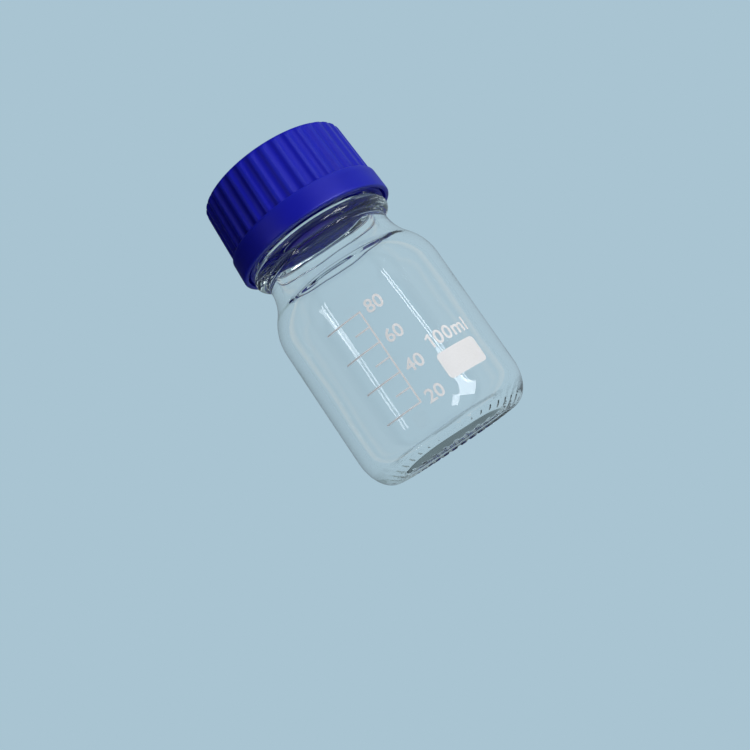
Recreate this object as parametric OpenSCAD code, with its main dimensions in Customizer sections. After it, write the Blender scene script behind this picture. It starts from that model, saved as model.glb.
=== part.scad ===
// Laboratory reagent bottle, 100 ml, with a GL 45 screw finish and a ribbed cap.
// Millimetres, +Z up. The origin is the middle of the base, on the plane it stands on.
// The two ends of the screw thread are left off: the neck and the cap bore keep room for it.

/* [Body] */
// Outside diameter of the body
body_d = 56; // [48:1:80]
// Thickness of the glass in the straight wall
wall = 2.9; // [2:0.1:4]
// Height at which the straight wall turns into the shoulder
shoulder_z = 51.5; // [40:0.5:90]
// Radius of the rounded shoulder
shoulder_r = 16.5; // [14.5:0.5:18]

/* [Base] */
// How far the rounded heel reaches in from the wall
heel_w = 7.5; // [5:0.25:9]
// How far the rounded heel reaches up the wall
heel_h = 11.7; // [7:0.1:16]
// Width of the flat ring that the bottle stands on
foot_w = 1.6; // [1:0.1:3]
// How much narrower the rounded corner of the hollow is than the heel
heel_inset = 1.5; // [0.5:0.1:2.5]
// How far the corner of the hollow ends below the top of the heel
heel_drop = 0.4; // [0:0.1:2]
// Height of the pushed-up middle of the base
punt_h = 1.2; // [0.8:0.1:3]
// Thickness of the glass in the middle of the base
floor_t = 2.2; // [1.8:0.1:5]
// Number of grip notches round the foot
notch_n = 36; // [12:1:48]
// Width of one notch
notch_w = 1.5; // [0.8:0.1:2]
// Depth of one notch
notch_depth = 0.45; // [0.2:0.05:0.7]

/* [Neck] */
// Diameter of the narrowest place below the bead
waist_d = 42.8; // [41:0.1:44]
// Height of that waist above the start of the shoulder
waist_rise = 19.2; // [18:0.1:24]
// Thickness of the glass at the waist
waist_wall = 3; // [2.4:0.1:4.5]
// Height over which the hollow narrows from the waist to the bore
throat_h = 4.8; // [3:0.1:8]
// Outside diameter of the bead under the thread
bead_d = 48.3; // [47:0.1:48.8]
// Thickness of the bead
bead_h = 4.4; // [3:0.1:5]
// Straight glass between the waist and the bead
bead_rise = 1.6; // [1.2:0.1:3]
// Diameter of the neck at the root of the thread
neck_d = 41.5; // [41:0.1:42]
// Height of the screw finish, from the bead to the lip
finish_h = 21.6; // [20:0.1:26]
// Bore of the neck
bore_d = 33; // [28:0.5:34]

/* [Lip] */
// How far the lip that the pouring ring snaps over stands in from the root of the thread
lip_inset = 0.75; // [0.6:0.05:1.2]
// Height of the lip
lip_h = 2.4; // [2:0.1:3]
// Height of the snap groove below the lip
groove_h = 1.8; // [1.4:0.1:2.4]
// Depth of the snap groove
groove_depth = 0.6; // [0.4:0.05:0.8]
// Rounding of the lip
lip_round = 0.9; // [0.4:0.1:1.1]

/* [Pouring ring] */
// Thickness of the ring's flange on top of the lip
ring_top_t = 0.7; // [0.5:0.1:1.5]
// Height of the drip edge above the flange
drip_h = 0.4; // [0.2:0.1:0.8]
// Thickness of the ring's sleeve and skirt
ring_t = 0.9; // [0.7:0.05:1]
// How far the sleeve reaches down the bore
sleeve_h = 6; // [4:0.5:9]
// Clearance between the ring and the glass
ring_clear = 0.1; // [0.05:0.01:0.15]

/* [Liner] */
// Thickness of the sealing disc
liner_t = 1.5; // [1:0.1:2.5]
// Clearance between the disc and the cap bore
liner_clear = 0.4; // [0.3:0.05:0.6]

/* [Cap] */
// Radial room for the thread between the neck and the cap bore
thread_room = 2.15; // [1.8:0.05:2.3]
// Thickness of the inner skirt that carries the thread
skirt_t = 1.4; // [1:0.1:1.6]
// Width of the groove between the inner skirt and the band
skirt_gap = 0.8; // [0.5:0.1:1]
// Thickness of the band at its lower rim
band_t = 1.5; // [1:0.1:2]
// Height of the smooth band
band_h = 7.6; // [5:0.1:10]
// How far the band stands out from the grip above it
band_step = 0.65; // [0.3:0.05:0.8]
// Clearance between the inner skirt and the bead
bead_gap = 0.4; // [0.3:0.05:1]
// How far the band reaches below the inner skirt
band_drop = 0.4; // [0:0.05:0.8]
// Thickness of the cap's top plate
top_t = 2; // [1.6:0.1:3]
// Depth of the shallow dish in the top
dish_depth = 0.4; // [0.2:0.05:0.6]
// Width of the flat rim round the dish
dish_rim = 3; // [2.5:0.1:6]
// Rounding of the top edge
top_round = 1.6; // [1:0.1:2]
// Draft of the grip and the band, in degrees
draft = 2.7; // [0.5:0.1:3]

/* [Grip flutes] */
// Number of flutes round the cap
flute_n = 36; // [24:1:40]
// Radius of the cutter that makes a flute
flute_r = 2.6; // [1.5:0.1:4]
// Depth of a flute
flute_depth = 0.55; // [0.3:0.05:0.8]
// Angle at which the first flute stands, in degrees
flute_start = -2; // [-5:0.5:5]

/* [Band webs] */
// Number of webs that tie the band to the inner skirt
web_n = 18; // [6:1:30]
// Thickness of one web
web_t = 1; // [0.8:0.1:1.5]
// Depth of the groove between the band and the inner skirt
gap_depth = 4.6; // [2:0.1:5]
// How far the webs stay back from the mouth of the groove
web_back = 0.8; // [0.4:0.1:1.5]

/* [Hidden] */
$fn = 144;
cutter_fn = 32;
arc_steps = 14;
throat_steps = 8;
spill = 1;

// Body and base
body_r = body_d / 2;
foot_out = body_r - heel_w;
foot_in = foot_out - foot_w;
punt_edge = 0.6;
foot_slope = 1.4;
punt_r = foot_in - foot_slope;
inner_r = body_r - wall;
floor_z = punt_h + floor_t;
inner_heel_w = heel_w - heel_inset;
inner_heel_h = heel_h - heel_drop - floor_z;
notch_over = 0.6;

// Shoulder and neck, as two arcs that meet on one tangent
shoulder_c = body_r - shoulder_r;
waist_r = waist_d / 2;
waist_z = shoulder_z + waist_rise;
waist_in = waist_r - waist_wall;
bore_r = bore_d / 2;
bead_low = waist_z + bead_rise;
bead_top = bead_low + bead_h;
bead_mid = (bead_low + bead_top) / 2;
bead_c = bead_d / 2 - bead_h / 2;
neck_r = neck_d / 2;
neck_fillet = 0.6;

// Lip
lip_r = neck_r - lip_inset;
lip_z = bead_top + finish_h;
groove_top = lip_z - lip_h;
groove_low = groove_top - groove_h;
groove_r = lip_r - groove_depth;
groove_slope = 0.5;
lip_slope = 0.4;

// Pouring ring
ring_seat = lip_z + ring_top_t;
ring_z = ring_seat + drip_h;
sleeve_r = bore_r - ring_clear;
skirt_in = lip_r + ring_clear;
skirt_out = skirt_in + ring_t;
snap_r = groove_r + 2 * ring_clear;
snap_low = groove_low + 2 * ring_clear;
snap_top = groove_top - 2 * ring_clear;
sleeve_in = sleeve_r - ring_t;
sleeve_low = lip_z - sleeve_h;
ring_edge = 0.4;
lead_in = 0.3;
drip_r = (sleeve_r + skirt_out) / 2;
drip_t = 0.8;

// Cap and liner
cap_bore = neck_r + thread_room;
liner_r = cap_bore - liner_clear;
liner_z = ring_z + liner_t;
cap_z = liner_z + top_t;
skirt_r = cap_bore + skirt_t;
skirt_z = bead_top + bead_gap;
rim_z = skirt_z - band_drop;
rim_in = skirt_r + skirt_gap;
rim_r = rim_in + band_t;
band_z = rim_z + band_h;
band_top_r = rim_r - band_h * tan(draft);
grip_r = band_top_r - band_step;
grip_top_r = grip_r - (cap_z - band_z) * tan(draft);
rim_round = 0.8;
ledge = 0.35;
dish_r = grip_top_r - dish_rim;
gap_z = rim_z + gap_depth;
gap_edge = 0.2;

// Points along an arc of an ellipse, from angle a to angle b.
function arc(x, z, rx, rz, a, b, n = arc_steps) =
    [for (i = [0:n]) let(t = a + (b - a) * i / n) [x + rx * cos(t), z + rz * sin(t)]];

// Radius of the hollow arc that runs from a rounded shoulder of radius r,
// centred at (0, 0), to an upright line at x, which it meets at height z.
function hollow_r(r, x, z) = (x * x + z * z - r * r) / (2 * (r - x));

// The shoulder and the hollow above it: out at the wall, in at the neck.
function shoulder(cx, cz, r, x, z) =
    let(h = hollow_r(r, x - cx, z - cz),
        meet = atan2(z - cz, x + h - cx))
    concat(
        arc(cx, cz, r, r, 0, meet),
        arc(x + h, z, h, h, 180 + meet, 180, arc_steps - 2)
    );

// Lower end of the lip, the snap groove and the rounded lip itself.
function lip_outside() =
    concat(
        [[neck_r, groove_low - groove_slope]],
        [[groove_r, groove_low]],
        [[groove_r, groove_top]],
        [[lip_r, groove_top + lip_slope]],
        arc(lip_r - lip_round, lip_z - lip_round, lip_round, lip_round, 0, 90, 5)
    );

function bottle_outside() =
    concat(
        [[0, punt_h]],
        arc(0, punt_edge, punt_r, punt_h - punt_edge, 80, 0, 7),
        [[foot_in, 0]],
        arc(foot_out, heel_h, heel_w, heel_h, -90, 0),
        shoulder(shoulder_c, shoulder_z, shoulder_r, waist_r, waist_z),
        arc(bead_c, bead_mid, bead_h / 2, bead_h / 2, -100, 90),
        arc(neck_r + neck_fillet, bead_top + neck_fillet, neck_fillet, neck_fillet, 270, 180, 4),
        lip_outside()
    );

// Soft step of the hollow from the waist in to the bore, upright at both ends.
function throat() =
    [for (i = [1:throat_steps]) let(t = i / throat_steps)
        [waist_in - (waist_in - bore_r) * (1 - cos(180 * t)) / 2, waist_z + throat_h * t]];

function bottle_inside() =
    concat(
        [[0, floor_z]],
        arc(inner_r - inner_heel_w, floor_z + inner_heel_h, inner_heel_w, inner_heel_h, -90, 0, 10),
        shoulder(shoulder_c, shoulder_z, shoulder_r - wall, waist_in, waist_z),
        throat(),
        arc(bore_r + lip_round, lip_z - lip_round, lip_round, lip_round, 180, 90, 5),
        [[bore_r + lip_round, lip_z + spill]],
        [[0, lip_z + spill]]
    );

// Blown glass: one wall from the foot to the lip.
module bottle() {
    color([0.80, 0.88, 0.90, 0.45])
    difference() {
        rotate_extrude() polygon(concat(bottle_outside(), [[0, lip_z]]));
        rotate_extrude() polygon(bottle_inside());
        foot_notches();
    }
}

// Short radial notches that keep the foot from sliding.
module foot_notches() {
    cutter_r = (notch_w * notch_w / 4 + notch_depth * notch_depth) / (2 * notch_depth);
    for (i = [0:notch_n - 1])
        rotate([0, 0, i * 360 / notch_n])
        translate([foot_in - notch_over, 0, notch_depth - cutter_r])
        rotate([0, 90, 0])
        cylinder(h = foot_w + 3 * notch_over, r = cutter_r, $fn = cutter_fn);
}

// Moulded ring that snaps over the lip and gives it an edge that doesn't drip.
module pouring_ring() {
    color([0.15, 0.20, 0.75])
    rotate_extrude()
    polygon(concat(
        [[sleeve_in, sleeve_low]],
        [[sleeve_r - lead_in, sleeve_low]],
        [[sleeve_r, sleeve_low + 2 * lead_in]],
        [[sleeve_r, lip_z]],
        [[skirt_in, lip_z]],
        [[skirt_in, snap_top + groove_depth]],
        [[snap_r, snap_top]],
        [[snap_r, snap_low + ring_edge]],
        [[skirt_in, snap_low]],
        [[skirt_out, snap_low]],
        [[skirt_out, ring_seat - ring_edge]],
        [[skirt_out - ring_edge, ring_seat]],
        [[drip_r + drip_t, ring_seat]],
        [[drip_r + drip_t / 2, ring_z]],
        [[drip_r - drip_t / 2, ring_z]],
        [[drip_r - drip_t, ring_seat]],
        [[sleeve_in + ring_edge, ring_seat]],
        [[sleeve_in, ring_seat - ring_edge]]
    ));
}

// Flat disc between the pouring ring and the top of the cap.
module cap_liner() {
    color([0.16, 0.18, 0.55])
    translate([0, 0, ring_z])
    cylinder(h = liner_t, r = liner_r);
}

function cap_outside() =
    concat(
        [[0, cap_z - dish_depth]],
        [[dish_r - dish_depth, cap_z - dish_depth]],
        [[dish_r, cap_z]],
        arc(grip_top_r - top_round, cap_z - top_round, top_round, top_round, 90, 0, 6),
        [[grip_r, band_z + ledge]],
        [[band_top_r - ledge, band_z]],
        [[band_top_r, band_z - ledge]],
        arc(rim_r - rim_round, rim_z + rim_round, rim_round, rim_round, 0, -90, 5)
    );

// Ribbed cap: one moulded shell, with a band hung outside the threaded skirt.
module screw_cap() {
    color([0.10, 0.12, 0.62])
    difference() {
        rotate_extrude()
        polygon(concat(
            cap_outside(),
            [[rim_in, rim_z]],
            [[rim_in, skirt_z]],
            [[cap_bore, skirt_z]],
            [[cap_bore, liner_z]],
            [[0, liner_z]]
        ));
        flutes();
        band_groove();
    }
}

// Rounded flutes with the draft of the grip, open at the top edge.
module flutes() {
    for (i = [0:flute_n - 1])
        rotate([0, 0, flute_start + i * 360 / flute_n])
        translate([grip_r - flute_depth + flute_r, 0, band_z])
        rotate([0, -draft, 0])
        cylinder(h = cap_z - band_z + spill, r = flute_r, $fn = cutter_fn);
}

// Ring-shaped groove under the cap, crossed by webs.
module band_groove() {
    difference() {
        rotate_extrude()
        polygon([
            [skirt_r, skirt_z - spill],
            [rim_in, skirt_z - spill],
            [rim_in, gap_z - gap_edge],
            [rim_in - gap_edge, gap_z],
            [skirt_r + gap_edge, gap_z],
            [skirt_r, gap_z - gap_edge]
        ]);
        for (i = [0:web_n - 1])
            rotate([0, 0, (i + 0.5) * 360 / web_n])
            translate([skirt_r - spill, -web_t / 2, skirt_z + web_back])
            cube([skirt_gap + 2 * spill, web_t, gap_depth + spill]);
    }
}

bottle();
pouring_ring();
cap_liner();
screw_cap();
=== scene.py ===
# %% [markdown]
# # A laboratory reagent bottle
#
# A clear 100 ml glass bottle with a blue screw cap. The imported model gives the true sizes
# and the bodies that move: the glass, the sealing disc, and the cap. This script dresses
# that frame with smooth glass, moulded plastic and fired enamel, in metres.

# %% Load the frame
import math

import bmesh
import bpy
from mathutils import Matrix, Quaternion, Vector, noise


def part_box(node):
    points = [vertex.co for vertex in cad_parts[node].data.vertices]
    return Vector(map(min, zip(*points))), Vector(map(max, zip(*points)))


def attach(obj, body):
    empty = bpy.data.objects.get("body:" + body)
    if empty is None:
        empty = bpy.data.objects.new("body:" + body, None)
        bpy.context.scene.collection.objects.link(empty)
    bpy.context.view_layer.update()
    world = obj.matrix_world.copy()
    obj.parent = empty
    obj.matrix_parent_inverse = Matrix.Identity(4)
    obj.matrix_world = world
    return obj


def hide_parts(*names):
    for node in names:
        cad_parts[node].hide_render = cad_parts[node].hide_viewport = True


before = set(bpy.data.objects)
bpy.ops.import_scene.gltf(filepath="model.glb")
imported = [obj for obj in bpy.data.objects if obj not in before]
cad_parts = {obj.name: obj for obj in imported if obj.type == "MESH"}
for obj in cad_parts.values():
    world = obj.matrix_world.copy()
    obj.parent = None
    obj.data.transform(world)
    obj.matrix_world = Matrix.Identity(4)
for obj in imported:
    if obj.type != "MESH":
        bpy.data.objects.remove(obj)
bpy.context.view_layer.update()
MM = 0.001

# %% [markdown]
# ## Driving sizes
#
# The big sizes are read from the frame, so that the dressing can't drift from the part.
# What the frame's boxes can't tell, such as the height of the waist or the bore of the
# neck, is named here in millimetres: a radius ends in R, and a height above the base in Z.

# %% Sizes of the glass
glass_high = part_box("bottle")[1]
PAINT = 0.04  # thickness of the fired enamel, which stands on the wall
BODY_R = glass_high.x / MM - PAINT
LIP_Z = glass_high.z / MM
WALL = 2.9
FOOT_OUT, FOOT_IN, PUNT_H, FLOOR_Z = 20.5, 18.9, 1.2, 3.4
FLOOR_R, HEEL_H, HEEL_IN_H = 19.1, 11.7, 7.9
SHOULDER_Z, SHOULDER_R = 51.5, 16.5
WAIST_R, WAIST_IN, WAIST_Z, THROAT_H = 21.4, 18.4, 70.7, 4.8
BEAD_R, BEAD_LOW, BEAD_TOP = 24.15, 72.3, 76.7
NECK_R, BORE_R = 20.75, 16.5
LIP_R, GROOVE_R, GROOVE_LOW, GROOVE_TOP = 20.0, 19.4, 94.1, 95.9
NOTCHES, NOTCH_DEPTH = 36, 0.45
print(f"glass: {2 * BODY_R:.1f} mm across, {LIP_Z:.1f} mm to the lip")

# %% [markdown]
# ## Lathe work
#
# Glass, ring, disc and cap are all round, so each is an outline turned about the axis. An
# outline is a plain list of points (r, z). It could be drawn as a curve by hand, but a few
# helpers that give arcs, rounded corners and shoulders keep every size a named value.

# %% Points of an outline
SIDE_SHARE = 0.49  # of a side, at most, that the round at one of its ends may take


def arc(r, z, across, up, start, stop, steps=12):
    """Points on an ellipse about (r, z), from one angle to another, in degrees."""
    turn = [math.radians(start + (stop - start) * i / steps) for i in range(steps + 1)]
    return [(r + across * math.cos(t), z + up * math.sin(t)) for t in turn]


def hollow(c_r, c_z, radius, r, z, steps=14):
    """A shoulder that swells out from its centre, then hollows in to an upright line at r, z."""
    dr, dz = r - c_r, z - c_z
    bend = (dr * dr + dz * dz - radius * radius) / (2 * (radius - dr))
    meet = math.degrees(math.atan2(dz, dr + bend))
    swell = arc(c_r, c_z, radius, radius, 0, meet, steps)
    return swell + arc(r + bend, z, bend, bend, 180 + meet, 180, steps)[1:]


def eased(corners):
    """An outline with its corners rounded: each corner is (r, z, radius of the round)."""
    path = []
    for i, (r, z, radius) in enumerate(corners):
        here = Vector((r, z))
        if radius == 0 or i in (0, len(corners) - 1):
            path.append((r, z))
            continue
        back = Vector(corners[i - 1][:2]) - here
        ahead = Vector(corners[i + 1][:2]) - here
        half = back.angle(ahead) / 2
        reach = min(radius / math.tan(half), SIDE_SHARE * back.length, SIDE_SHARE * ahead.length)
        a, b = here + back.normalized() * reach, here + ahead.normalized() * reach
        for t in (0, 0.25, 0.5, 0.75, 1):
            point = a * (1 - t) ** 2 + here * 2 * t * (1 - t) + b * t * t
            path.append((point.x, point.y))
    return path


square = [(0, 0, 0), (10, 0, 2), (10, 10, 2), (0, 10, 0)]
print(f"a square's 4 corners become {len(eased(square))} points when two of them are eased")

# %% [markdown]
# ### Finer steps
#
# A thread or a flute needs points close together, and a plain wall doesn't. So an outline
# is stepped twice: once for the whole, and once more between two heights, if need be only
# near the axis.

# %% Steps along an outline
def stepped(path, longest):
    """The same outline with no step longer than longest, so that fine detail has points."""
    out = [path[0]]
    for (r0, z0), (r1, z1) in zip(path, path[1:]):
        count = max(1, math.ceil(math.hypot(r1 - r0, z1 - z0) / longest))
        out += [(r0 + (r1 - r0) * k / count, z0 + (z1 - z0) * k / count)
                for k in range(1, count + 1)]
    return out


def refine(path, low, high, longest, widest=math.inf):
    """Finer steps between two heights only, and nowhere beyond a radius of widest."""
    out = [path[0]]
    for a, b in zip(path, path[1:]):
        fine = low < min(a[1], b[1]) and max(a[1], b[1]) < high and max(a[0], b[0]) < widest
        out += stepped([a, b], longest)[1:] if fine else [b]
    return out


print("a 10 mm line at 0.3 mm steps has", len(stepped([(0, 0), (0, 10)], 0.3)), "points")

# %% [markdown]
# ### The lathe
#
# Blender's Screw modifier could turn an outline, but a lathe in code can also move each
# point by its angle. That makes the thread, the flutes and the notches in one clean skin,
# with no boolean and no seam. Where the outline meets the axis, the ring is one point, and
# rings that the shape presses together are welded. The outline runs anticlockwise, with the
# axis on its left, so that every face looks outwards.

# %% The lathe
WELD = 1e-7  # metres, within which two points are one
ON_AXIS = 1e-6  # mm: a smaller radius is the axis itself


def lathe(name, path, columns, closed=False, shape=None):
    """Turns an anticlockwise outline in millimetres into a closed mesh. shape may move a point."""
    verts, rings = [], []
    for i, (r, z) in enumerate(path):
        ring = []
        for k in range(1 if r < ON_AXIS else columns):
            angle = 2 * math.pi * k / columns
            rr, zz = shape(r, z, angle, i) if shape else (r, z)
            ring.append(len(verts))
            verts.append((rr * MM * math.cos(angle), rr * MM * math.sin(angle), zz * MM))
        rings.append(ring)
    faces = []
    pairs = list(zip(rings, rings[1:])) + ([(rings[-1], rings[0])] if closed else [])
    for low, high in pairs:
        for k in range(columns):
            n = (k + 1) % columns
            quad = [low[k % len(low)], low[n % len(low)], high[n % len(high)], high[k % len(high)]]
            quad = list(dict.fromkeys(quad))
            if len(quad) > 2:
                faces.append(quad)
    mesh = bpy.data.meshes.new(name)
    mesh.from_pydata(verts, [], faces)
    skin = bmesh.new()
    skin.from_mesh(mesh)
    bmesh.ops.remove_doubles(skin, verts=skin.verts, dist=WELD)
    skin.to_mesh(mesh)
    skin.free()
    mesh.shade_smooth()
    piece = bpy.data.objects.new(name, mesh)
    bpy.context.scene.collection.objects.link(piece)
    print(f"{name}: {len(path)} rings of {columns}, {len(mesh.polygons)} faces")
    return piece


# %% [markdown]
# ## Materials
#
# Every finish starts from what the real thing is made of. Colours are written as sRGB hex,
# the way a paint chart gives them, and one function turns them to the linear values that
# the shaders need. One more adds a node with its settings and its links.

# %% Colours and nodes
def linear(code):
    """An sRGB hex colour as linear red, green, blue and alpha."""
    parts = [int(code[i:i + 2], 16) / 255 for i in (0, 2, 4)]
    return tuple(c / 12.92 if c <= 0.04045 else ((c + 0.055) / 1.055) ** 2.4 for c in parts) + (1,)


def add_node(tree, kind, links=None, **values):
    """Adds a node. values set its properties or inputs, and links feed its inputs."""
    made = tree.nodes.new(kind)
    for key, value in values.items():
        if key in made.bl_rna.properties:
            setattr(made, key, value)
        else:
            made.inputs[key.replace("_", " ")].default_value = value
    for key, source in (links or {}).items():
        tree.links.new(source, made.inputs[key])
    return made


def new_material(name):
    """An empty node material and its output."""
    material = bpy.data.materials.new(name)
    material.use_nodes = True
    material.node_tree.nodes.clear()
    return material, material.node_tree, add_node(material.node_tree, "ShaderNodeOutputMaterial")


print("mid grey 808080 is", round(linear("808080")[0], 3), "in linear light")

# %% [markdown]
# ### Borosilicate glass
#
# Blown borosilicate is almost without colour; only where the eye looks along the wall does
# a faint straw tint build up. So the surface stays white and smooth with an IOR of 1.473,
# and the tint is a constant absorption in the volume. A ripple 9 mm long, far too shallow
# to feel, bends the reflections as blown glass does.
#
# Two kinds of ray pass straight on through a transparent shader. Shadow rays do, because a
# path tracer finds a lamp behind real glass only slowly. So do rays that have already met
# more than six surfaces: they would otherwise run up inside the wall like light in a fibre
# and end in the dark cap, which turns the foot black.

# %% Glass
GLASS_IOR = 1.473
RIPPLE_MM, RIPPLE_HIGH = 9, 0.25
STRAIGHT_AFTER = 6
STRAW, STRAW_DENSITY = "F2F2EA", 14.0
SHADOW_TINT = "F4F8F8"


def borosilicate_glass():
    """Clear blown glass."""
    material, tree, out = new_material("borosilicate_glass")
    place = add_node(tree, "ShaderNodeTexCoord")
    ripple = add_node(tree, "ShaderNodeTexNoise", {"Vector": place.outputs["Object"]},
                      Scale=1 / (RIPPLE_MM * MM), Detail=1.0, Roughness=0.4)
    bump = add_node(tree, "ShaderNodeBump", {"Height": ripple.outputs["Fac"]},
                    Strength=0.06, Distance=RIPPLE_HIGH * MM)
    glass = add_node(tree, "ShaderNodeBsdfPrincipled", {"Normal": bump.outputs["Normal"]},
                     Base_Color=(1, 1, 1, 1), Roughness=0.0, IOR=GLASS_IOR,
                     Transmission_Weight=1.0)
    clear = add_node(tree, "ShaderNodeBsdfTransparent", Color=linear(SHADOW_TINT))
    path = add_node(tree, "ShaderNodeLightPath")
    deep = add_node(tree, "ShaderNodeMath", {0: path.outputs["Ray Depth"]},
                    operation="GREATER_THAN")
    deep.inputs[1].default_value = STRAIGHT_AFTER
    straight = add_node(tree, "ShaderNodeMath",
                        {0: path.outputs["Is Shadow Ray"], 1: deep.outputs[0]},
                        operation="MAXIMUM")
    mix = add_node(tree, "ShaderNodeMixShader",
                   {0: straight.outputs[0], 1: glass.outputs[0], 2: clear.outputs[0]})
    tint = add_node(tree, "ShaderNodeVolumeAbsorption", Color=linear(STRAW),
                    Density=STRAW_DENSITY)
    tree.links.new(mix.outputs[0], out.inputs["Surface"])
    tree.links.new(tint.outputs[0], out.inputs["Volume"])
    return material


glass_finish = borosilicate_glass()
print("made", glass_finish.name)

# %% [markdown]
# ### Polypropylene
#
# Cap and ring are injection-moulded polypropylene, dyed deep blue in the mass. The mould's
# spark-eroded steel leaves a fine satin grain, drawn 0.35 mm wide so that it can show, and
# slow cloudy bands 14 mm wide are where the melt flowed. The plastic passes a little light,
# so a translucent violet-blue is mixed in. On the crests of the grip and the edges of the
# band it's paler and smoother: partly worn by hands, partly a painted sheen for the light
# those edges catch. A mesh attribute named crest says where that is, and the grain breaks
# it up.

# %% Plastics
PLASTIC_IOR = 1.49
SATIN_MM, SATIN_HIGH, SATIN = 0.35, 0.05, 0.12
FLOW_MM = 14
GLOW = "4424F0"
POLISH = -0.12  # what full rubbing adds to the roughness


def polypropylene(name, code, rubbed, roughness, through):
    """Dyed, moulded plastic: its colour, its colour where worn and painted with sheen, and how much
    light it passes.
    """
    material, tree, out = new_material(name)
    place = add_node(tree, "ShaderNodeTexCoord")
    fine = add_node(tree, "ShaderNodeTexNoise", {"Vector": place.outputs["Object"]},
                    Scale=1 / (SATIN_MM * MM), Detail=2.0)
    flow = add_node(tree, "ShaderNodeTexNoise", {"Vector": place.outputs["Object"]},
                    Scale=1 / (FLOW_MM * MM), Detail=3.0)
    bump = add_node(tree, "ShaderNodeBump", {"Height": fine.outputs["Fac"]},
                    Strength=SATIN, Distance=SATIN_HIGH * MM)
    rough = add_node(tree, "ShaderNodeMapRange", {"Value": flow.outputs["Fac"]},
                     From_Min=0.3, From_Max=0.7, To_Min=roughness - 0.04, To_Max=roughness + 0.05)
    shade = add_node(tree, "ShaderNodeMapRange", {"Value": flow.outputs["Fac"]},
                     From_Min=0.3, From_Max=0.7, To_Min=0.94, To_Max=1.06)
    tone = add_node(tree, "ShaderNodeHueSaturation", {"Value": shade.outputs["Result"]},
                    Color=linear(code))
    crest = add_node(tree, "ShaderNodeAttribute", attribute_name="crest")
    patchiness = add_node(tree, "ShaderNodeMapRange", {"Value": fine.outputs["Fac"]},
                      From_Min=0.35, From_Max=0.65, To_Min=0.55, To_Max=1.0)
    wear_and_sheen = add_node(tree, "ShaderNodeMath", {0: crest.outputs["Fac"], 1: patchiness.outputs["Result"]},
                    operation="MULTIPLY")
    # paler colour on crests and band edges: partly worn, partly a painted sheen
    dyed_with_sheen = add_node(tree, "ShaderNodeMix",
                    {"Factor": wear_and_sheen.outputs[0], "A": tone.outputs["Color"]}, data_type="RGBA")
    dyed_with_sheen.inputs["B"].default_value = linear(rubbed)
    polished = add_node(tree, "ShaderNodeMath", {0: wear_and_sheen.outputs[0], 2: rough.outputs["Result"]},
                        operation="MULTIPLY_ADD")
    polished.inputs[1].default_value = POLISH
    plastic = add_node(tree, "ShaderNodeBsdfPrincipled",
                       {"Base Color": dyed_with_sheen.outputs["Result"], "Roughness": polished.outputs[0],
                        "Normal": bump.outputs["Normal"]}, IOR=PLASTIC_IOR)
    glow = add_node(tree, "ShaderNodeBsdfTranslucent", Color=linear(GLOW))
    mix = add_node(tree, "ShaderNodeMixShader", {1: plastic.outputs[0], 2: glow.outputs[0]},
                   Fac=through)
    tree.links.new(mix.outputs[0], out.inputs["Surface"])
    return material


cap_finish = polypropylene("polypropylene_deep_blue", "060BA2", "161EA8", 0.42, 0.18)
ring_finish = polypropylene("polypropylene_ring_blue", "2A1CB0", "3A2EB0", 0.38, 0.20)
print("made", cap_finish.name, "and", ring_finish.name)

# %% [markdown]
# ### Enamel and silicone
#
# The marks are ceramic enamel, screened on and fired: a dense white glass with a slightly
# grainy face. So thin a coat lets about a third of the light through, which a translucent
# share gives, and that is why the print also shows, dimmer, from behind. The sealing disc
# is blue silicone sheet, soft and matt. One recipe serves both: a grain and a tone.

# %% Enamel and silicone
GRAIN, GRAIN_HIGH = 0.2, 0.03
ENAMEL_IOR, SILICONE_IOR = 1.52, 1.41


def plain_finish(name, code, roughness, grain_mm, ior, through=0.0):
    """A matt finish with a fine grain, which may let some light through."""
    material, tree, out = new_material(name)
    place = add_node(tree, "ShaderNodeTexCoord")
    grain = add_node(tree, "ShaderNodeTexNoise", {"Vector": place.outputs["Object"]},
                     Scale=1 / (grain_mm * MM), Detail=3.0)
    bump = add_node(tree, "ShaderNodeBump", {"Height": grain.outputs["Fac"]},
                    Strength=GRAIN, Distance=GRAIN_HIGH * MM)
    shade = add_node(tree, "ShaderNodeMapRange", {"Value": grain.outputs["Fac"]},
                     From_Min=0.3, From_Max=0.7, To_Min=0.95, To_Max=1.0)
    tone = add_node(tree, "ShaderNodeHueSaturation", {"Value": shade.outputs["Result"]},
                    Color=linear(code))
    face = add_node(tree, "ShaderNodeBsdfPrincipled",
                    {"Base Color": tone.outputs["Color"], "Normal": bump.outputs["Normal"]},
                    Roughness=roughness, IOR=ior)
    thin = add_node(tree, "ShaderNodeBsdfTranslucent", {"Color": tone.outputs["Color"]})
    mix = add_node(tree, "ShaderNodeMixShader", {1: face.outputs[0], 2: thin.outputs[0]},
                   Fac=through)
    tree.links.new(mix.outputs[0], out.inputs["Surface"])
    return material


enamel_finish = plain_finish("fired_white_enamel", "EEECEE", 0.45, 0.4, ENAMEL_IOR, 0.35)
silicone_finish = plain_finish("silicone_sheet", "5A3CE0", 0.6, 0.6, SILICONE_IOR)
print("made", enamel_finish.name, "and", silicone_finish.name)

# %% [markdown]
# ## The screw thread
#
# A GL 45 finish has a rounded ridge that climbs 4 mm a turn, right-handed. It could be
# swept along a helix and joined on, but that leaves a seam where it meets the wall. Here
# both halves are one rule: how far a height lies from the middle of the ridge at that
# angle. The cap's ridge runs half a pitch away from the neck's, so the two mesh, and they
# stay in mesh as the cap turns because it rises by the same pitch.

# %% Thread rule
PITCH = 4.0
TURNS = 1.9
RUN_OUT = 0.09  # turns over which the ridge fades at each end
RIDGE_FLAT, RIDGE_HALF = 0.5, 1.35


def smooth(a, b, x):
    """0 at a, 1 at b, and a smooth step between them."""
    t = min(1, max(0, (x - a) / (b - a)))
    return t * t * (3 - 2 * t)


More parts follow.
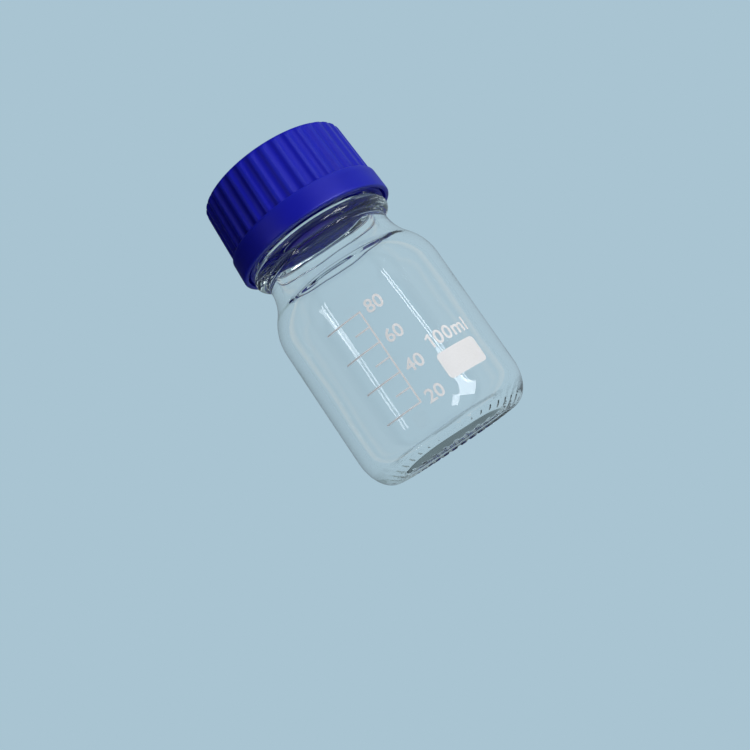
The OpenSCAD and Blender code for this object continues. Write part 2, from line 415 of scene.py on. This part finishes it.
def ridge(z, angle, start, height):
    """Height of the thread's ridge at one place on the wall."""
    around = angle / (2 * math.pi)
    lap = round((z - start) / PITCH - around)
    best = 0
    for near in (lap - 1, lap, lap + 1):
        turned = around + near
        away = abs(z - start - PITCH * turned)
        ends = smooth(0, RUN_OUT, turned) * smooth(TURNS, TURNS - RUN_OUT, turned)
        best = max(best, height * smooth(RIDGE_HALF, RIDGE_FLAT, away) * ends)
    return best


print(f"the ridge is {2 * RIDGE_HALF:.1f} mm wide and climbs {PITCH * TURNS:.1f} mm in all")

# %% [markdown]
# ## The glass
#
# The bottle is one blown piece, so it's one outline: up the outside, over the lip and down
# the inside. The outside follows the mould: a hollowed base, a foot ring, the heel, a
# straight wall, the shoulder, the waist, the bead and the neck. Inside, the floor is thick
# and the throat narrows to the bore in one soft step, because the neck is pressed and the
# body is blown.

# %% Outline of the glass
BEAD_H = BEAD_TOP - BEAD_LOW
UNDER_BEAD, OVER_BEAD = 22.3, 22.0  # radii where its round starts and ends
THREAD_Z, THREAD_H = 81.0, 1.6
LIP_ROUND = 0.9
DOME_R, DOME_Z = 17.5, 0.6  # the hollow under the base
FLOOR_WAVE = ((12.0, -0.05), (6.0, 0.1), (0.0, 0.2))  # radius, and how far off FLOOR_Z
OUTER_STEP, INNER_STEP, THREAD_STEP = 1.2, 1.5, 0.3
THROAT_STEPS = 12
outside = (
    arc(0, DOME_Z, DOME_R, PUNT_H - DOME_Z, 90, 20, 10)
    + eased([(DOME_R - 0.2, DOME_Z + 0.12, 0), (DOME_R + 0.4, DOME_Z - 0.05, 0.5),
             (FOOT_IN, 0, 0.4), (FOOT_OUT, 0, 0)])
    + arc(FOOT_OUT, HEEL_H, BODY_R - FOOT_OUT, HEEL_H, -88, 0, 20)
    + hollow(BODY_R - SHOULDER_R, SHOULDER_Z, SHOULDER_R, WAIST_R, WAIST_Z)
    + eased([(WAIST_R, WAIST_Z + 0.3, 0), (WAIST_R, BEAD_LOW + 0.1, 0.5),
             (UNDER_BEAD, BEAD_LOW, 0)])
    + arc(BEAD_R - BEAD_H / 2, (BEAD_LOW + BEAD_TOP) / 2, BEAD_H / 2, BEAD_H / 2, -75, 78, 14)
    + eased([(OVER_BEAD, BEAD_TOP, 0), (NECK_R, BEAD_TOP, 1.0), (NECK_R, GROOVE_LOW - 0.5, 0.4),
             (GROOVE_R, GROOVE_LOW, 0.4), (GROOVE_R, GROOVE_TOP, 0.4),
             (LIP_R, GROOVE_TOP + 0.4, 0.4), (LIP_R, LIP_Z - LIP_ROUND, 0)])
    + arc(LIP_R - LIP_ROUND, LIP_Z - LIP_ROUND, LIP_ROUND, LIP_ROUND, 8, 90, 6)
)
throat = []
for k in range(THROAT_STEPS):
    down = k / THROAT_STEPS
    throat.append((BORE_R + (WAIST_IN - BORE_R) * smooth(0, 1, down),
                   WAIST_Z + THROAT_H * (1 - down)))
inside = (
    arc(BORE_R + LIP_ROUND, LIP_Z - LIP_ROUND, LIP_ROUND, LIP_ROUND, 90, 180, 6)
    + throat
    + hollow(BODY_R - SHOULDER_R, SHOULDER_Z, SHOULDER_R - WALL, WAIST_IN, WAIST_Z)[::-1]
    + arc(FLOOR_R, FLOOR_Z + HEEL_IN_H, BODY_R - WALL - FLOOR_R, HEEL_IN_H, 0, -90, 16)
    + [(r, FLOOR_Z + off) for r, off in FLOOR_WAVE]
)
glass_outline = refine(stepped(outside, OUTER_STEP), BEAD_TOP + 0.8, GROOVE_LOW, THREAD_STEP)
inner_start = len(glass_outline)
glass_outline += stepped(inside, INNER_STEP)
print(f"outline of the glass: {inner_start} points outside, {len(glass_outline)} in all")

# %% [markdown]
# ### The skin of the glass
#
# The shape rule adds what isn't round: the thread, and 36 shallow notches in the foot ring
# that keep the bottle from sticking to a wet bench. The inside never touched the mould, so
# a slow noise of 0.16 mm makes it a little uneven. That unevenness is what makes real
# glass shimmer, and a bump alone would miss it, because bump doesn't move what is seen
# through the wall.

# %% Shape of the glass
UNEVEN_R, UNEVEN_Z, UNEVEN_MM = 0.16, 0.12, 13
FINER = 1.7  # how much shorter the waves of the height are, so that the two don't match
EVEN_FROM, EVEN_AT = 80, 96  # heights between which the waves of the radius fade out
NOTCH_HALF, NOTCH_FLAT = 0.24, 0.08  # half its width and half its flat part, of the pitch
COLUMNS_A_NOTCH = 8


def glass_shape(r, z, angle, i):
    """Thread and notches outside, and the unevenness of blown glass inside."""
    if i >= inner_start:
        spot = Vector((r * math.cos(angle), r * math.sin(angle), z)) / UNEVEN_MM
        wave = UNEVEN_R * noise.noise(spot) * smooth(EVEN_AT, EVEN_FROM, z)
        return r + wave, z + UNEVEN_Z * noise.noise(spot * FINER)
    r += ridge(z, angle, THREAD_Z, THREAD_H) if BEAD_TOP + 1 < z < GROOVE_LOW else 0
    if z < NOTCH_DEPTH and r > FOOT_IN - 1:
        across = abs((angle * NOTCHES / (2 * math.pi) + 0.5) % 1 - 0.5)
        z = max(z, NOTCH_DEPTH * smooth(NOTCH_HALF, NOTCH_FLAT, across))
    return r, z


bottle = lathe("bottle_glass", glass_outline, COLUMNS_A_NOTCH * NOTCHES, shape=glass_shape)
bottle.data.materials.append(glass_finish)
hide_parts("bottle")
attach(bottle, "bottle")

# %% [markdown]
# ## The printed scale
#
# White enamel marks stand a few hundredths of a millimetre on the wall. A Shrinkwrap
# modifier could lay flat marks on the glass, but it pulls their sides flat too. Instead
# they are drawn flat, cut every half millimetre, bent round the axis and only then given
# their thickness, so each mark is a thin solid with crisp edges.

# %% Wrapping flat shapes round the wall
CUT = 0.5
CUT_SHIFT = 0.026  # keeps the cuts off the corners of the shapes
SPECK = 0.001  # mm: points closer than this are one
COAT = 0.7 * PAINT  # the rest is air between the enamel and the glass
CREASE = math.radians(40)


def wrap(name, flat):
    """Bends a flat bmesh in millimetres (x along the wall, z up) round the front of the glass."""
    reach = [v.co.x for v in flat.verts]
    for i in range(math.floor(min(reach) / CUT), math.ceil(max(reach) / CUT)):
        bmesh.ops.bisect_plane(flat, geom=flat.verts[:] + flat.edges[:] + flat.faces[:],
                               plane_co=((i + CUT_SHIFT) * CUT, 0, 0), plane_no=(1, 0, 0))
    top = BODY_R + PAINT
    for v in flat.verts:
        turn = v.co.x / top
        v.co = Vector((math.sin(turn) * top, -math.cos(turn) * top, v.co.z)) * MM
    bmesh.ops.remove_doubles(flat, verts=flat.verts, dist=SPECK * MM)
    flat.normal_update()
    for f in flat.faces:
        middle = f.calc_center_median()
        if f.normal.dot(Vector((middle.x, middle.y, 0))) < 0:
            f.normal_flip()
    bmesh.ops.solidify(flat, geom=flat.faces[:], thickness=COAT * MM)
    mesh = bpy.data.meshes.new(name)
    flat.to_mesh(mesh)
    flat.free()
    mesh.shade_smooth()
    mesh.set_sharp_from_angle(angle=CREASE)
    mesh.materials.append(enamel_finish)
    piece = bpy.data.objects.new(name, mesh)
    bpy.context.scene.collection.objects.link(piece)
    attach(piece, "bottle")
    radii = [math.hypot(v.co.x, v.co.y) / MM for v in mesh.vertices]
    print(f"{name}: {min(radii):.3f} to {max(radii):.3f} mm from the axis")


def outlined(points, flat=None):
    """A flat face with this outline, in a bmesh of its own or added to one."""
    flat = flat or bmesh.new()
    face = flat.faces.new([flat.verts.new((x, 0, z)) for x, z in points])
    face.normal_update()
    bmesh.ops.triangulate(flat, faces=[face])
    return flat


print(f"the enamel is {COAT:.3f} mm thick")

# %% [markdown]
# ### The scale line
#
# The spacing of the ticks isn't drawn by eye: the bore of the body says how far the level
# climbs for each 10 ml. Every second tick is long and gets a figure. Line and ticks are one
# outline like a comb, so that no two of them overlap on the glass. The first and the last
# tick end flush with the line, so there the tooth has no corner of its own.

# %% Scale line and ticks
LINE_X, LINE_W, TICK_W = -1.9, 0.52, 0.5
TICK_LONG, TICK_SHORT = 12.0, 4.9
FIRST_ML, LAST_ML, TICK_ML, FIGURE_ML = 20, 80, 10, 20
FIRST_Z = 14.05
climb = 1000 / (math.pi * (BODY_R + PAINT - WALL) ** 2)  # 1 ml is 1000 cubic millimetres
print(f"the level climbs {TICK_ML * climb:.2f} mm for each {TICK_ML} ml")


def level(volume):
    """Height of the mark for a volume in millilitres."""
    return FIRST_Z + (volume - FIRST_ML) * climb


half = TICK_W / 2
root = LINE_X - LINE_W / 2
comb = [(LINE_X + LINE_W / 2, level(LAST_ML) + half), (LINE_X + LINE_W / 2, level(FIRST_ML) - half)]
for volume in range(FIRST_ML, LAST_ML + 1, TICK_ML):
    z, tip = level(volume), LINE_X - (TICK_SHORT if volume % FIGURE_ML else TICK_LONG)
    comb += [(root, z - half), (tip, z - half), (tip, z + half), (root, z + half)]
comb.remove((root, level(FIRST_ML) - half))
comb.remove((root, level(LAST_ML) + half))
wrap("scale_marks", outlined(comb))

# %% [markdown]
# ### The figures
#
# Blender's own font gives plain round figures. A text object turned to a mesh has exact
# outlines, which are then scaled to their real height, 4.1 mm on the scale, and made
# slightly bolder, as screen printing does. A font's own filling can hold triangles with no
# area, so only the outlines are kept, and Triangle Fill fills them again. The one of "100"
# has no foot on this print, so it's drawn by its corners.

# %% Figures
BOLD, FONT_STEPS = 0.018, 6
FIGURE_X, FIGURE_H = 2.75, 4.1
LABEL_Z, ONE_X = 26.7, 9.5
# mark, its middle along the wall, its middle above LABEL_Z, height
LABEL = (("0", 12.8, 0, 4.3), ("0", 16.0, 0, 4.3), ("m", 20.1, -0.55, 3.1), ("l", 23.3, 0, 4.3))
# corners of the one, from its own middle
ONE = ((0.35, -2.15), (1.0, -2.15), (1.0, 2.15), (0.45, 2.15), (-0.65, 1.35), (-0.65, 0.7),
       (0.35, 1.25))


def figures(text, x, z, height):
    """Flat outlines of a few figures, centred on x and z, as mesh."""
    curve = bpy.data.curves.new("figure", "FONT")
    curve.body = text
    curve.resolution_u = FONT_STEPS
    curve.offset = BOLD
    letter = bpy.data.objects.new("figure", curve)
    bpy.context.scene.collection.objects.link(letter)
    seen = letter.evaluated_get(bpy.context.evaluated_depsgraph_get())
    mesh = bpy.data.meshes.new_from_object(seen)
    low = Vector([min(v.co[i] for v in mesh.vertices) for i in range(3)])
    high = Vector([max(v.co[i] for v in mesh.vertices) for i in range(3)])
    middle, grow = (low + high) / 2, height / (high.y - low.y)
    for v in mesh.vertices:
        v.co = ((v.co.x - middle.x) * grow + x, 0, (v.co.y - middle.y) * grow + z)
    bpy.data.objects.remove(letter)
    bpy.data.curves.remove(curve)
    return mesh


drawn = bmesh.new()
for volume in range(FIRST_ML, LAST_ML + 1, FIGURE_ML):
    drawn.from_mesh(figures(str(volume), FIGURE_X, level(volume), FIGURE_H))
for mark, x, lower, height in LABEL:
    drawn.from_mesh(figures(mark, x, LABEL_Z + lower, height))
inner = [e for e in drawn.edges if not e.is_boundary]
bmesh.ops.delete(drawn, geom=inner, context="EDGES")
bmesh.ops.triangle_fill(drawn, edges=drawn.edges, use_beauty=True)
wrap("scale_figures", outlined([(ONE_X + x, LABEL_Z + z) for x, z in ONE], drawn))

# %% [markdown]
# ### The writing field
#
# Beside the scale is a plain white patch with rounded corners, to be written on in pencil.
# It's one outline of four arcs, filled and wrapped like the marks. The place above the
# label, where a maker would print a mark, stays bare.

# %% Writing field
FIELD_LEFT, FIELD_RIGHT, FIELD_LOW, FIELD_HIGH = 8.7, 23.0, 14.4, 22.6
FIELD_ROUND = 1.4
left, right = FIELD_LEFT + FIELD_ROUND, FIELD_RIGHT - FIELD_ROUND
low, high = FIELD_LOW + FIELD_ROUND, FIELD_HIGH - FIELD_ROUND
edge = []
for x, z, start in ((right, high, 0), (left, high, 90), (left, low, 180), (right, low, 270)):
    edge += arc(x, z, FIELD_ROUND, FIELD_ROUND, start, start + 90, 8)
wrap("writing_field", outlined(edge))

# %% [markdown]
# ## The pouring ring
#
# A thin moulded ring clips over the lip and gives it a sharp edge, so that the last drop
# falls instead of running down the glass. A sleeve centres it in the bore, and a hooked
# skirt holds it in the groove. It's one closed outline, turned like the glass, and it's
# hidden until the cap is off.

# %% Pouring ring
COLUMNS = 160  # steps round a piece with no detail of its own
RING_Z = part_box("pouring_ring")[1].z / MM
SEAT = RING_Z - 0.4  # the drip edge stands on this
CLEAR = 0.1
SLEEVE_R = BORE_R - CLEAR
SLEEVE_IN = SLEEVE_R - 0.9
SLEEVE_END = LIP_Z - 6
HOOK_R, CLIP_IN, CLIP_OUT = 19.6, 20.1, 21.0
DRIP_R = (SLEEVE_R + CLIP_OUT) / 2
START_Z = 96.0  # where the closed outline starts and ends, on a straight wall
ring_outline = eased([
    (SLEEVE_IN, START_Z, 0), (SLEEVE_IN, SLEEVE_END, 0.2), (SLEEVE_R - 0.3, SLEEVE_END, 0.1),
    (SLEEVE_R, SLEEVE_END + 0.6, 0.2), (SLEEVE_R, LIP_Z + 0.02, 0.1), (CLIP_IN, LIP_Z + 0.02, 0.1),
    (CLIP_IN, GROOVE_TOP + 0.4, 0.1), (HOOK_R, GROOVE_TOP - 0.2, 0.1),
    (HOOK_R, GROOVE_LOW + 0.6, 0.1), (CLIP_IN, GROOVE_LOW + 0.2, 0.1),
    (CLIP_OUT, GROOVE_LOW + 0.2, 0.3), (CLIP_OUT, SEAT, 0.5), (DRIP_R + 0.8, SEAT, 0.2),
    (DRIP_R + 0.4, RING_Z, 0.15), (DRIP_R - 0.4, RING_Z, 0.15), (DRIP_R - 0.8, SEAT, 0.2),
    (SLEEVE_IN, SEAT, 0.5), (SLEEVE_IN, START_Z + 0.2, 0),
])
ring = lathe("pouring_ring_moulding", ring_outline, COLUMNS, closed=True)
ring.data.materials.append(ring_finish)
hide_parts("pouring_ring")
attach(ring, "bottle")

# %% [markdown]
# ## The sealing disc
#
# A loose disc of silicone sheet lies in the top of the cap and is squeezed against the
# ring. Its edge is die-cut, so it's square with only a slight ease. It rises with the cap
# but doesn't turn with it.

# %% Sealing disc
disc_low, disc_high = (corner.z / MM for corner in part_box("cap_liner"))
disc_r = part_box("cap_liner")[1].x / MM
CUT_EASE = 0.25
disc = lathe("sealing_disc", eased([
    (0, disc_low, 0), (disc_r, disc_low, CUT_EASE), (disc_r, disc_high, CUT_EASE),
    (0, disc_high, 0),
]), COLUMNS)
disc.data.materials.append(silicone_finish)
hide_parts("cap_liner")
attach(disc, "liner")

# %% [markdown]
# ## The cap
#
# The cap is one moulding: a threaded skirt, a grip with 36 flutes that taper towards the
# top, and a smooth band hung outside the skirt on short webs. Its sizes come from the
# frame's box, and the sides lean in by 2.7 degrees, as a moulding must to leave its mould.

# %% Sizes of the cap
cap_low, cap_high = (corner.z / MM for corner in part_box("screw_cap"))
RIM_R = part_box("screw_cap")[1].x / MM
CAP_BORE, SKIRT_R, RIM_IN = 22.9, 24.3, 25.1
HAIR = 0.01  # mm: two sizes closer than this count as one
BAND_H, BAND_STEP, BAND_DROP = 7.6, 0.65, 0.4
SKIRT_Z = cap_low + BAND_DROP
BAND_Z = cap_low + BAND_H
DRAFT = math.tan(math.radians(2.7))
BAND_TOP_R = RIM_R - BAND_H * DRAFT
GRIP_R = BAND_TOP_R - BAND_STEP
GRIP_TOP_R = GRIP_R - (cap_high - BAND_Z) * DRAFT
FLUTES, FLUTE_START, COLUMNS_A_FLUTE = 36, -2.0, 14
FLUTE_DEPTH, FLUTE_CURVE, CREST = 0.55, 2.6, 0.1
WEBS, WEB_W, GAP_Z = 18, 1.0, cap_low + 4.6
WEB_Z = SKIRT_Z + 0.8  # the webs reach down to here
CAP_THREAD_H = 1.5
BARE_LOW, BARE_HIGH = 0.3, 4  # bare wall below the cap's thread and above it
print(f"cap: {2 * RIM_R:.1f} mm across the band, {cap_high - cap_low:.1f} mm high")

# %% [markdown]
# ### The outline of the cap
#
# One line again: from the middle of the top, over the raised rim, down the grip and the
# band, up into the gap between band and skirt, round the skirt and up the bore to the seat
# of the disc. That is clockwise, so the list is turned round for the lathe. Fine steps are
# needed only in the bore, where the thread is.

# %% Outline of the cap
DISH_RIM, DISH_DEPTH, TOP_ROUND = 3, 0.4, 1.6
DISH_R = GRIP_TOP_R - DISH_RIM
DISH_Z = cap_high - DISH_DEPTH
SEAT_Z = disc_high + HAIR
FINE_TOP = disc_high - 6  # well above the end of the thread
cap_outline = eased([
    (0, DISH_Z, 0), (DISH_R - 0.5, DISH_Z, 0.5), (DISH_R, cap_high, 0.5),
    (GRIP_TOP_R, cap_high, TOP_ROUND), (GRIP_R, BAND_Z + 0.3, 0.2), (BAND_TOP_R, BAND_Z, 0.5),
    (RIM_R, cap_low, 0.8), (RIM_IN, cap_low, 0.3), (RIM_IN, GAP_Z, 0.2), (SKIRT_R, GAP_Z, 0.2),
    (SKIRT_R, SKIRT_Z, 0.3), (CAP_BORE, SKIRT_Z, 0.3), (CAP_BORE, SEAT_Z, 0.3), (0, SEAT_Z, 0),
])
cap_outline = stepped(cap_outline, INNER_STEP)
cap_outline = refine(cap_outline, SKIRT_Z, FINE_TOP, THREAD_STEP, CAP_BORE + 0.1)[::-1]
print("outline of the cap:", len(cap_outline), "points")

# %% [markdown]
# ### Flutes, thread and webs
#
# A boolean could cut the flutes, but the lathe's shape rule gives them the soft edges that
# a mould leaves. Each flute is a shallow round groove, so the ribs between are narrow and
# their crests stay slightly round. The same rule raises the thread in the bore and fills
# the gap under the band where a web stands.

# %% Shape of the cap
def flute(z, angle):
    """Radius of the grip's wall at one place."""
    across = abs(((math.degrees(angle) - FLUTE_START) * FLUTES / 360 + 0.5) % 1 - 0.5)
    off = across * 2 * math.pi * GRIP_R / FLUTES
    dip = FLUTE_DEPTH - FLUTE_CURVE + math.sqrt(FLUTE_CURVE ** 2 - off * off)
    dip = (dip + math.hypot(dip, CREST)) / 2
    return GRIP_R - (z - BAND_Z) * DRAFT - dip


def cap_shape(r, z, angle, i):
    """Flutes outside, the thread inside, and webs across the groove under the band."""
    if z > BAND_Z + 0.1 and r > DISH_R + 0.6:
        return min(r, flute(z, angle)), z
    if r < CAP_BORE + HAIR and SKIRT_Z + BARE_LOW < z < disc_high - BARE_HIGH:
        return r - ridge(z, angle, THREAD_Z - PITCH / 2, CAP_THREAD_H), z
    if SKIRT_R < r + HAIR and r - HAIR < RIM_IN and z > WEB_Z:
        across = abs((angle * WEBS / (2 * math.pi)) % 1 - 0.5) * 2 * math.pi * r / WEBS
        return r, z if across > WEB_W / 2 else WEB_Z
    return r, z


cap = lathe("screw_cap_moulding", cap_outline, COLUMNS_A_FLUTE * FLUTES, shape=cap_shape)
cap.data.materials.append(cap_finish)
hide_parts("screw_cap")
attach(cap, "cap")

# %% [markdown]
# ### Where the cap is worn and painted with sheen
#
# The paler, smoother places could be painted in a texture, but the shape already says where
# they are: on the crests of the grip and on the two edges of the band. They are partly worn
# by hands and partly a painted sheen for the light those edges catch. Each point gets a
# number from 0 to 1, kept in the mesh as the attribute that the plastic's material reads.

# %% Wear and painted sheen on the cap
# paler, smoother band edges and grip crests: worn, and painted with sheen
EDGE_WEAR_AND_SHEEN, EDGE_MM = 0.8, 0.5
WORN_AND_SHEEN_TO, WORN_AND_SHEEN_FROM = 0.16, 0.02  # mm below the crest's own line


def rubbed(r, z):
    """How worn, and how strongly painted with sheen, the plastic is at one place on the cap."""
    band_top = BAND_Z - EDGE_MM < z < BAND_Z + 0.1 and r > BAND_TOP_R - 0.3
    band_foot = z < cap_low + EDGE_MM and r > RIM_R - 0.6
    if band_top or band_foot:
        return EDGE_WEAR_AND_SHEEN
    if BAND_Z + EDGE_MM < z < cap_high - 1.2 and r > DISH_R:
        return smooth(WORN_AND_SHEEN_TO, WORN_AND_SHEEN_FROM, GRIP_R - (z - BAND_Z) * DRAFT - r)
    return 0


crest = cap.data.attributes.new("crest", "FLOAT", "POINT")
for v, rub in zip(cap.data.vertices, crest.data):
    rub.value = rubbed(math.hypot(v.co.x, v.co.y) / MM, v.co.z / MM)
print(sum(rub.value > 0.5 for rub in crest.data), "points of the cap are rubbed")

# %% [markdown]
# ## The table
#
# A pale one-sided floor: from above it's a plain surface that takes the bottle's shadow,
# and from below, where the main camera stands, it lets the view through. It fades out
# between 0.12 m and 0.42 m from the bottle, so that it has no edge or horizon. Rays that
# have been mirrored or bent pass it, so the glass shows the even surround and not a dark
# table.

# %% Floor
FLOOR_COLOUR, FLOOR_MATT = "C0DCEC", 0.8
FLOOR_SIZE, FLOOR_DROP = 3.0, 0.0001  # metres: a hair lower than the foot
FADE_FROM, FADE_TO = 0.12, 0.42


def floor_finish():
    """A matt pale surface, clear from below, for bent rays and far from the bottle."""
    material, tree, out = new_material("pale_table")
    matt = add_node(tree, "ShaderNodeBsdfPrincipled", Base_Color=linear(FLOOR_COLOUR),
                    Roughness=FLOOR_MATT)
    clear = add_node(tree, "ShaderNodeBsdfTransparent")
    side = add_node(tree, "ShaderNodeNewGeometry")
    rays = add_node(tree, "ShaderNodeLightPath")
    bent = add_node(tree, "ShaderNodeMath", {0: rays.outputs["Is Glossy Ray"],
                                            1: rays.outputs["Is Transmission Ray"]},
                    operation="MAXIMUM")
    passed = add_node(tree, "ShaderNodeMath", {0: side.outputs["Backfacing"], 1: bent.outputs[0]},
                      operation="MAXIMUM")
    place = add_node(tree, "ShaderNodeTexCoord")
    reach = add_node(tree, "ShaderNodeVectorMath", {0: place.outputs["Object"]}, operation="LENGTH")
    fade = add_node(tree, "ShaderNodeMapRange", {"Value": reach.outputs["Value"]},
                    interpolation_type="SMOOTHSTEP", From_Min=FADE_FROM, From_Max=FADE_TO)
    open_part = add_node(tree, "ShaderNodeMath", {0: passed.outputs[0], 1: fade.outputs["Result"]},
                         operation="MAXIMUM")
    mix = add_node(tree, "ShaderNodeMixShader",
                   {0: open_part.outputs[0], 1: matt.outputs[0], 2: clear.outputs[0]})
    tree.links.new(mix.outputs[0], out.inputs["Surface"])
    return material


bpy.ops.mesh.primitive_plane_add(size=FLOOR_SIZE, location=(0, 0, -FLOOR_DROP))
floor = bpy.context.object
floor.name = "table"
floor.data.materials.append(floor_finish())
print("the table fades out at", FADE_TO, "m from the bottle")

# %% [markdown]
# ## The surround
#
# Clear glass has almost no look of its own: it shows what stands round it. So the world
# has four answers, chosen by the kind of ray. Plain light on matt surfaces is even and
# dim. The camera sees a flat pale blue-grey backdrop. Mirrored rays see a room that is
# bright on the right and dark on the left. Bent rays see the backdrop in front, with a few
# upright bands at the sides: a cream one where a wall would be, and dark ones behind the
# camera. The edges of the glass gather those bands into the lines that draw its outline.

# %% Surround
BACKDROP = linear("A9C4D2")
world = bpy.data.worlds.new("surround")
bpy.context.scene.world = world
world.use_nodes = True
sky = world.node_tree
sky.nodes.clear()
rays = add_node(sky, "ShaderNodeLightPath")
place = add_node(sky, "ShaderNodeTexCoord")
across = add_node(sky, "ShaderNodeSeparateXYZ", {"Vector": place.outputs["Generated"]})
side = add_node(sky, "ShaderNodeMapRange", {"Value": across.outputs["X"]},
                From_Min=-0.6, From_Max=0.9, To_Min=0.02, To_Max=0.75)
even = add_node(sky, "ShaderNodeBackground", Color=linear("F1F4F6"), Strength=0.10)
mirrored = add_node(sky, "ShaderNodeBackground", {"Strength": side.outputs["Result"]},
                    Color=linear("CCE2F0"))
backdrop = add_node(sky, "ShaderNodeBackground", Color=BACKDROP, Strength=1.0)
print("the backdrop is", [round(part, 2) for part in BACKDROP[:3]])

# %% [markdown]
# ### The bands that the glass bends
#
# The angle about the upright axis, from straight ahead at 0 to straight behind at 1, is
# read through a colour ramp, the same on the left and the right. Light Path then picks the
# answer that each ray gets.

# %% Bands and choice of ray
BANDS = ((0.33, "ECE6DA"), (0.36, "DAD4C8"), (0.39, "8FA8B4"), (0.43, "B2C4CD"),
         (0.57, "B2C4CD"), (0.60, "4E5F6A"), (0.63, "4E5F6A"))
turn = add_node(sky, "ShaderNodeMath", {0: across.outputs["X"], 1: across.outputs["Y"]},
                operation="ARCTAN2")
away = add_node(sky, "ShaderNodeMath", {0: turn.outputs[0]}, operation="ABSOLUTE")
share = add_node(sky, "ShaderNodeMath", {0: away.outputs[0]}, operation="DIVIDE")
share.inputs[1].default_value = math.pi
room = add_node(sky, "ShaderNodeValToRGB", {"Fac": share.outputs[0]})
room.color_ramp.interpolation = "EASE"
stops = room.color_ramp.elements
stops[0].position, stops[0].color = 0.30, BACKDROP
stops[1].position, stops[1].color = 0.67, BACKDROP
for where, code in BANDS:
    stops.new(where).color = linear(code)
bent = add_node(sky, "ShaderNodeBackground", {"Color": room.outputs["Color"]}, Strength=1.0)
seen = even
for kind, answer in (("Is Glossy Ray", mirrored), ("Is Transmission Ray", bent),
                     ("Is Camera Ray", backdrop)):
    seen = add_node(sky, "ShaderNodeMixShader",
                    {0: rays.outputs[kind], 1: seen.outputs[0], 2: answer.outputs[0]})
add_node(sky, "ShaderNodeOutputWorld", {"Surface": seen.outputs[0]})
print("bands in the surround:", len(stops))

# %% [markdown]
# ## Light
#
# Daylight comes softly from the front right, and a weaker lamp behind keeps the back from
# going black. Neither is seen in reflections. A window is: each pane is a thin bright lamp
# that lights nothing and only shows in gloss. Two tall panes stand on each side, so the
# wall of the bottle shows a double streak, one wide pane crosses the top of the left pair,
# and two low ones are caught by the heel.

# %% Lamps
def soft_lamp(name, place, aim, width, height, power, colour="FFFFFF", lean=0):
    """A rectangular lamp at place, in metres, turned towards aim and leaning by lean degrees."""
    data = bpy.data.lights.new(name, "AREA")
    data.shape = "RECTANGLE"
    data.size, data.size_y = width, height
    data.energy = power
    data.color = linear(colour)[:3]
    lamp = bpy.data.objects.new(name, data)
    lamp.location = place
    facing = (Vector(aim) - Vector(place)).to_track_quat("-Z", "Y")
    lamp.rotation_mode = "QUATERNION"
    lamp.rotation_quaternion = facing @ Quaternion((0, 0, 1), math.radians(lean))
    lamp.visible_transmission = False
    bpy.context.scene.collection.objects.link(lamp)
    return lamp


MIDDLE = (0, 0, 0.055)
key = soft_lamp("right_daylight", (0.82, -0.82, 0.50), MIDDLE, 1.00, 1.00, 20.0, "FFFCF6")
key.visible_glossy = False
back_fill = soft_lamp("back_fill", (-0.35, 0.80, 0.70), MIDDLE, 0.80, 0.60, 3.0)
back_fill.visible_glossy = False
print("lamps that light:", key.name, "and", back_fill.name)

# %% [markdown]
# ### The window's panes
#
# Where a pane stands follows from the mirror rule: the wall shows it where its normal
# points halfway between the camera and the pane. A pane that leans gives a streak that
# leans. The middles of the low panes lie below the table's level, because the heel turns
# down.

# %% Panes
PANE_COLOUR = "F4F8FF"
# name, place in metres, width, height, power in watts, lean in degrees
PANES = (
    ("left_pane_1", (-0.440, -0.484, 0.120), 0.024, 0.30, 0.15, 0),
    ("left_pane_2", (-0.400, -0.516, 0.120), 0.024, 0.30, 0.15, 0),
    ("left_top_pane", (-0.450, -0.470, 0.190), 0.130, 0.040, 0.08, -38),
    ("right_pane_1", (0.473, -0.439, 0.115), 0.014, 0.23, 0.11, 38),
    ("right_pane_2", (0.499, -0.409, 0.115), 0.014, 0.23, 0.11, 38),
    ("low_pane_1", (0.480, -0.440, -0.030), 0.250, 0.23, 1.60, -28),
    ("low_pane_2", (0.300, -0.577, -0.110), 0.110, 0.20, 0.60, -28),
)
for name, place, width, height, power, lean in PANES:
    pane = soft_lamp(name, place, MIDDLE, width, height, power, PANE_COLOUR, lean)
    pane.visible_diffuse = False
print("panes that only shine:", len(PANES))

# %% [markdown]
# ## The camera
#
# The camera stands 0.3 m in front of the glass and a little below the base, and it's
# rolled, so that the bottle leans in the picture as if it lay back in a stand. The bottle
# itself stays upright, in the frame that its joints need.

# %% Camera
EYE = Vector((0, -303.5, -13.7)) * MM
AIM = Vector((-9.0, 0, 31.5)) * MM
ROLL = -34.1
FOCAL, SENSOR = 48.46, 36
lens = bpy.data.cameras.new("camera")
lens.lens = FOCAL
lens.sensor_width = SENSOR
lens.clip_start = 0.01
camera = bpy.data.objects.new("camera", lens)
camera.location = EYE
camera.rotation_mode = "QUATERNION"
level_view = (AIM - EYE).to_track_quat("-Z", "Y")
camera.rotation_quaternion = level_view @ Quaternion((0, 0, 1), math.radians(ROLL))
bpy.context.scene.collection.objects.link(camera)
bpy.context.scene.camera = camera
bpy.context.scene.view_settings.view_transform = "Standard"
print(f"camera {(AIM - EYE).length:.3f} m from what it looks at, rolled {-ROLL} degrees")

# %% [markdown]
# ## Light paths
#
# A ray crosses a glass wall many times before it leaves a neck, a thread or a heel, and
# each crossing counts as a bounce. Cycles stops at 12 by default, which leaves black
# specks in the foot, so the limits are raised to what this shape needs.

# %% Light paths
CROSSINGS = 32
paths = bpy.context.scene.cycles
paths.max_bounces = CROSSINGS + 8
paths.transmission_bounces = CROSSINGS
paths.glossy_bounces = CROSSINGS // 2
paths.transparent_max_bounces = 24
print("a ray may cross the glass", CROSSINGS, "times")
